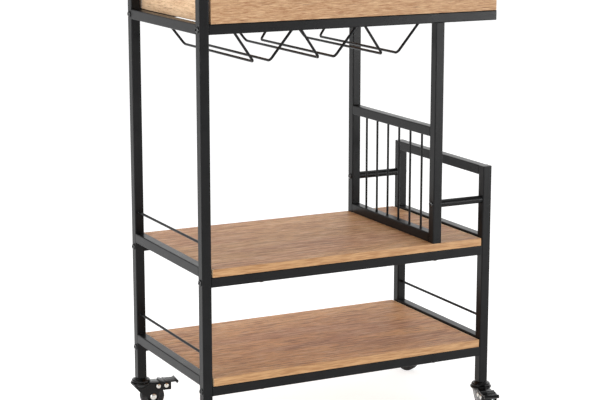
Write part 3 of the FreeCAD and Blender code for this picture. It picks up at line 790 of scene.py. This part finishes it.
# Belts round circles (x, z, radius), and the pedal's outline (x, z, rounding).
LEG_SHAPE = [(-12.0, 49.5, 4.0), (0.5, 36.8, 5.0), (TRAIL, WHEEL, 8.0), (*PIVOT, 5.5), (31.0, 49.7, 4.0)]
FLANGE_SHAPE = [(*PIVOT, 6.0), (42.5, 39.0, 2.0), (57.5, 38.7, 2.0), (57.6, 51.0, 2.0)]
PEDAL_SHAPE = [(36.2, 52.0, 0.4), (36.2, 54.2, 0.6), (37.4, 55.4, 0.8), (42.0, 55.4, 0.9),
               (43.4, 54.2, 0.5), (47.0, 54.2, 0.3), (47.8, 55.0, 0.5), (50.4, 55.0, 0.5),
               (51.2, 54.2, 0.3), (68.4, 54.0, 1.5), (70.6, 56.2, 1.0), (72.8, 56.2, 1.2),
               (75.2, 53.4, 1.5), (74.6, 50.2, 1.2), (72.2, 48.6, 0.9), (70.4, 49.8, 0.6),
               (70.0, 52.0, 0.5)]
ACROSS = Matrix.Rotation(math.radians(90), 4, "X")   # lays a plate's XY outline onto XZ


def in_mm(points):
    """Points given in millimetres, as metres."""
    return [tuple(value * MM for value in point) for point in points]


def at_mm(x, y, z):
    """The placement that moves a part to a spot given in millimetres."""
    return Matrix.Translation(Vector((x, y, z)) * MM)


def facing_out(side, x, y, z):
    """The placement of a part that points out of one side of a caster."""
    return towards((0, side, 0), Vector((x, side * y, z)) * MM)


def bar_across(near, far, half, ease):
    """A block across a caster, from one (x, z) corner to the other."""
    low = Vector((near[0], -half, near[1])) * MM
    high = Vector((far[0], half, far[1])) * MM
    return block(low, high, ease * MM)


def stem_mesh():
    """Threaded stem, collar, domed race in two steps, and the kingpin's head."""
    outline = [(0, 49.2), (5.6, 49.2, 0.4), (6.5, 49.9, 0.3), (6.5, 51.2, 0.2), (4.0, 51.2), (4.0, 57.5),
               (17.6, 57.5), (17.6, 56.0), (18.6, 56.0, 0.3), (18.6, 59.6, 1.3), (17.2, 61.4, 0.9),
               (14.6, 61.5, 0.3), (13.8, 62.9, 0.8), (12.4, 63.7, 0.5), (9.5, 64.0, 0.2), (9.5, 65.0, 0.3),
               (3.95, 65.0)]
    pitch = 1.2
    level = 66.0
    while level < 88.0:
        outline += [(3.95, level), (3.4, level + pitch / 2)]
        level += pitch
    outline += [(3.2, 89.0), (0, 89.0)]
    return turned(eased(in_mm(outline), 3), 56)


def crown_mesh():
    """The fork's pressed crown, with a rolled rim that holds the lower race."""
    outline = [(4.06, 51.5), (20.3, 51.5, 0.5), (21.2, 52.5, 0.8), (21.2, 54.5, 0.8), (20.2, 55.5, 0.6),
               (18.3, 55.5, 0.5), (18.3, 54.0, 0.6), (4.06, 54.0)]
    return turned(eased(in_mm(outline), 4), 56)


def hood_mesh():
    """The fork's shoulders: a sloping shell that is open in front, where the wheel turns."""
    mesh = bmesh.new()
    wall = 2.0
    opening = 5.0                # open for the wheel from here forward
    steps = 40
    loops = []
    for height, radius in ((44.0, 13.6), (44.6, 14.3), (48.0, 17.3), (51.6, 20.3)):
        loop = []
        for reach, back in ((radius, False), (radius - wall, True)):
            first = min(math.asin(LEG_INSIDE / reach), math.acos(opening / reach))
            turns = [first + (2 * math.pi - 2 * first) * step / steps for step in range(steps + 1)]
            for angle in reversed(turns) if back else turns:
                spot = Vector((reach * math.cos(angle), reach * math.sin(angle), height))
                loop.append(mesh.verts.new(spot * MM))
        loops.append(loop)
    for first, second in zip(loops, loops[1:]):
        bridge(mesh, first, second)
    for loop in (loops[0], loops[-1]):
        for step in range(steps):
            far = len(loop) - 1 - step
            mesh.faces.new((loop[step], loop[step + 1], loop[far - 1], loop[far]))
    bmesh.ops.recalc_face_normals(mesh, faces=mesh.faces)
    return mesh


def fork(corner, place):
    """Crown, shoulders, the flat top over the wheel and two legs."""
    piece = Piece(f"{corner}_fork", f"{corner}_swivel", "caster_black", [CASTER_PAINT])
    piece.add(crown_mesh(), place)
    piece.add(hood_mesh(), place)
    piece.add(bar_across(*FORK_TOP, LEG_OUTSIDE, 0.6), place)
    holes = in_mm([(TRAIL, WHEEL, AXLE_R + 0.05), (*PIVOT, PIVOT_R + 0.05)])
    outlines = [wrapped(in_mm(LEG_SHAPE))] + [circle(*hole) for hole in holes]
    middle_of_leg = LEG_INSIDE + LEG / 2
    for side in (-1, 1):
        leg = plate(outlines, LEG * MM, 0.35 * MM)
        piece.add(leg, place @ at_mm(0, side * middle_of_leg, 0) @ ACROSS)
    piece.finish(f"{corner}_caster_fork")


def rivet_head(radius):
    """A low domed head on XY, for a rivet along -Z."""
    height = 2.2
    outline = [(0, -0.05), (radius * 0.94, -0.05), (radius, 0.25 * height, 0.2),
               (radius * 0.8, 0.72 * height, 0.6), (radius * 0.4, height, 0.8), (0, height)]
    return turned(eased(in_mm(outline), 3), 32)


def round_bar(radius, low, high, segments):
    """A plain shaft along Z, from low to high."""
    return turned(in_mm([(0, low), (radius, low), (radius, high), (0, high)]), segments)


def pins(corner, place):
    """The axle rivet and the two pivot rivets."""
    piece = Piece(f"{corner}_rivets", f"{corner}_swivel", "rivet_steel", [RIVET])
    axle = round_bar(AXLE_R, -LEG_OUTSIDE, LEG_OUTSIDE, 32)
    piece.add(axle, place @ at_mm(TRAIL, 0, WHEEL) @ ACROSS)
    under_head = FLANGE_OUTSIDE + PIVOT_PLAY
    for side in (-1, 1):
        piece.add(rivet_head(AXLE_HEAD_R), place @ facing_out(side, TRAIL, LEG_OUTSIDE, WHEEL))
        at_pivot = place @ facing_out(side, PIVOT[0], under_head, PIVOT[1])
        piece.add(round_bar(PIVOT_R, LEG_INSIDE - under_head, 0.1, 24), at_pivot)
        piece.add(rivet_head(PIVOT_HEAD_R), at_pivot)
    piece.finish(f"{corner}_caster_pins")


def wheel(corner, place):
    """A hub of boss, web, rim and spokes, and a tyre with a faint groove round its tread."""
    body = f"{corner}_wheel"
    at_axle = place @ at_mm(TRAIL, 0, WHEEL) @ ACROSS
    hub = Piece(f"{corner}_hub", body, "hub_plastic", [HUB_PLASTIC])
    outline = [(4.06, -10.5, 0.3), (8.0, -10.5, 0.5), (8.0, -3.0, 0.8), (11.4, -3.0, 0.8),
               (11.8, -9.5, 0.4), (14.45, -9.5, 0.3), (14.45, 9.5, 0.3), (11.8, 9.5, 0.4),
               (11.4, 3.0, 0.8), (8.0, 3.0, 0.8), (8.0, 10.5, 0.5), (4.06, 10.5, 0.3)]
    hub.add(turned(eased(in_mm(outline), 3), 56), at_axle)
    spokes = 6
    for index in range(spokes):
        turn = Matrix.Rotation(2 * math.pi * index / spokes, 4, "Z")
        hub.add(bar_across((7.6, -8.4), (12.2, 8.4), 0.7, 0.3), at_axle @ turn)
    hub.finish(f"{corner}_wheel_hub")
    tyre = Piece(f"{corner}_tyre", body, "tyre_black", [RUBBER])
    outline = [(14.5, -10.0), (15.8, -10.0, 0.3), (16.4, -9.5, 0.3), (21.6, -10.0, 1.6), (23.9, -7.6, 1.4),
               (24.0, -5.0, 1.0), (24.0, -0.3), (23.9, 0.0), (24.0, 0.3), (24.0, 5.0, 1.0),
               (23.9, 7.6, 1.4), (21.6, 10.0, 1.6), (16.4, 9.5, 0.3), (15.8, 10.0, 0.3), (14.5, 10.0)]
    tyre.add(turned(eased(in_mm(outline), 4), 72), at_axle)
    tyre.finish(f"{corner}_wheel_tyre")


def spring_wire(points, radius):
    """A thin wire with rounded bends."""
    curve = bpy.data.curves.new("wire", "CURVE")
    curve.dimensions = "3D"
    curve.bevel_depth = radius
    curve.bevel_resolution = 2
    curve.use_fill_caps = True
    spline = curve.splines.new("NURBS")
    spline.points.add(len(points) - 1)
    for point, spot in zip(spline.points, points):
        point.co = (*spot, 1)
    spline.order_u = 3
    spline.use_endpoint_u = True
    return from_curve(curve)


def pedal(corner, place):
    """A foot plate with ribs and a rolled lip, side flanges, the brake shoe and its spring."""
    piece = Piece(f"{corner}_pedal", f"{corner}_brake", "caster_black", [PEDAL_PAINT, RIVET, RUBBER])
    piece.add(plate([eased(in_mm(PEDAL_SHAPE), 4)], 2 * FLANGE_OUTSIDE * MM, 0.4 * MM), place @ ACROSS)
    ribs = 7
    first_rib = 52.8
    rib_pitch = 2.3
    for index in range(ribs):
        x = first_rib + index * rib_pitch
        piece.add(bar_across((x - 0.5, 53.6), (x + 0.5, 54.6), 13.4, 0.3), place)
    holes = in_mm([(*PIVOT, PIVOT_R + 0.06)])
    outlines = [wrapped(in_mm(FLANGE_SHAPE))] + [circle(*hole) for hole in holes]
    middle_of_flange = FLANGE_INSIDE + FLANGE / 2
    for side in (-1, 1):
        flange = plate(outlines, FLANGE * MM, 0.3 * MM)
        piece.add(flange, place @ at_mm(0, side * middle_of_flange, 0) @ ACROSS)
        at_pin = facing_out(side, SHOE_PIN[0], FLANGE_OUTSIDE, SHOE_PIN[1])
        piece.add(rivet_head(PIVOT_HEAD_R), place @ at_pin, finish=1)
        y = side * 12.6
        bends = [(50.0, y, 44.0), (46.2, y, 43.2), (43.6, y, 38.6), (45.4, y, 36.0), (48.4, y, 32.4)]
        piece.add(spring_wire(in_mm(bends), 0.8 * MM), place, finish=1)
    piece.add(bar_across(*SHOE, FLANGE_INSIDE, 0.6), place, finish=2)
    piece.finish(f"{corner}_brake_pedal")


def casters():
    """The four casters. Their stems are one piece, because they stay with the frame."""
    stems = Piece("caster_stems", "frame", "caster_black", [CASTER_PAINT])
    for corner in CORNERS:
        place = caster_place(corner)
        stems.add(stem_mesh(), place)
        fork(corner, place)
        pins(corner, place)
        wheel(corner, place)
        pedal(corner, place)
    stems.finish("caster_stems")


# ---------------------------------------------------------------- floor, lights and camera
def stage():
    """A wide pale floor that gives off some light of its own, so that it looks white."""
    size = 60.0
    mesh = bmesh.new()
    bmesh.ops.create_grid(mesh, x_segments=1, y_segments=1, size=size / 2)
    data = bpy.data.meshes.new("floor")
    mesh.to_mesh(data)
    mesh.free()
    look = Finish("floor_pale", specular=0.1)
    cloud = look.noise(0.002)
    colour = look.mixed(look.ranged(cloud, 0.3, 0.7), (0.50, 0.50, 0.50, 1), (0.52, 0.52, 0.52, 1))
    look.shader.inputs["Emission Color"].default_value = (1.0, 1.0, 1.0, 1.0)
    look.shader.inputs["Emission Strength"].default_value = 0.74
    data.materials.append(look.done(colour, 0.75))
    floor = bpy.data.objects.new("floor", data)
    bpy.context.scene.collection.objects.link(floor)


def studio_world():
    """A white surround, brightest behind the cart on its right, and plain white to the camera."""
    brightest_way = (0.75, 0.66, 0.1)
    dim_below, bright_above = 0.1, 0.95          # of a direction times brightest_way
    dim, bright = 0.36, 1.3
    world = bpy.data.worlds.new("studio")
    bpy.context.scene.world = world
    world.use_nodes = True
    nodes = world.node_tree.nodes
    link = world.node_tree.links.new
    direction = nodes.new("ShaderNodeTexCoord")
    toward = nodes.new("ShaderNodeVectorMath")
    toward.operation = "DOT_PRODUCT"
    link(direction.outputs["Generated"], toward.inputs[0])
    toward.inputs[1].default_value = brightest_way
    level = nodes.new("ShaderNodeMapRange")
    link(toward.outputs["Value"], level.inputs[0])
    for index, value in enumerate((dim_below, bright_above, dim, bright), 1):
        level.inputs[index].default_value = value
    ray = nodes.new("ShaderNodeLightPath")
    seen = nodes.new("ShaderNodeMix")
    link(ray.outputs["Is Camera Ray"], seen.inputs[0])
    link(level.outputs[0], seen.inputs[2])
    seen.inputs[3].default_value = 1.0
    backdrop = nodes["Background"]
    backdrop.inputs["Color"].default_value = (1.0, 1.0, 1.0, 1.0)
    link(seen.outputs[0], backdrop.inputs["Strength"])


def lights():
    """Softboxes that all point at the middle of the cart: place, width, height and power."""
    target = Vector((0, 0, 0.45))
    softboxes = {
        "left": ((-3.2, -0.5, 1.5), 1.8, 2.2, 34.0),
        "left_strip": ((-2.9, -1.5, 0.9), 0.08, 1.6, 24.0),
        "back_strip": ((-2.7, 1.7, 0.9), 0.12, 1.5, 14.0),
        "front_strip": ((-2.2, -3.4, 1.7), 0.07, 1.2, 7.0),
        "top": ((0.3, 0.2, 3.3), 2.4, 2.4, 40.0),
        "right": ((2.1, -2.6, 0.7), 0.7, 1.2, 28.0),
    }
    for name, (spot, width, height, power) in softboxes.items():
        light = bpy.data.lights.new(name, "AREA")
        light.shape = "RECTANGLE"
        light.size = width
        light.size_y = height
        light.energy = power
        holder = bpy.data.objects.new(name, light)
        holder.location = spot
        holder.visible_camera = False
        holder.rotation_euler = (target - Vector(spot)).to_track_quat("-Z", "Y").to_euler()
        bpy.context.scene.collection.objects.link(holder)


def camera():
    """The camera stands in front, left of the cart and above it, and looks down a little."""
    heading = math.radians(26.77)
    pitch = math.radians(11.6)
    data = bpy.data.cameras.new("camera")
    data.sensor_width = 36.0
    data.lens = 104.66
    data.clip_end = 100.0
    holder = bpy.data.objects.new("camera", data)
    holder.location = (-1.5451, -3.0168, 1.1297)
    holder.rotation_euler = (math.radians(90) - pitch, 0, -heading)
    bpy.context.scene.collection.objects.link(holder)
    bpy.context.scene.camera = holder
    bpy.context.scene.view_settings.view_transform = "Standard"


coat_frame()
shelves()
tray()
frame_bolts()
board_screws()
welds()
casters()
stage()
studio_world()
lights()
camera()
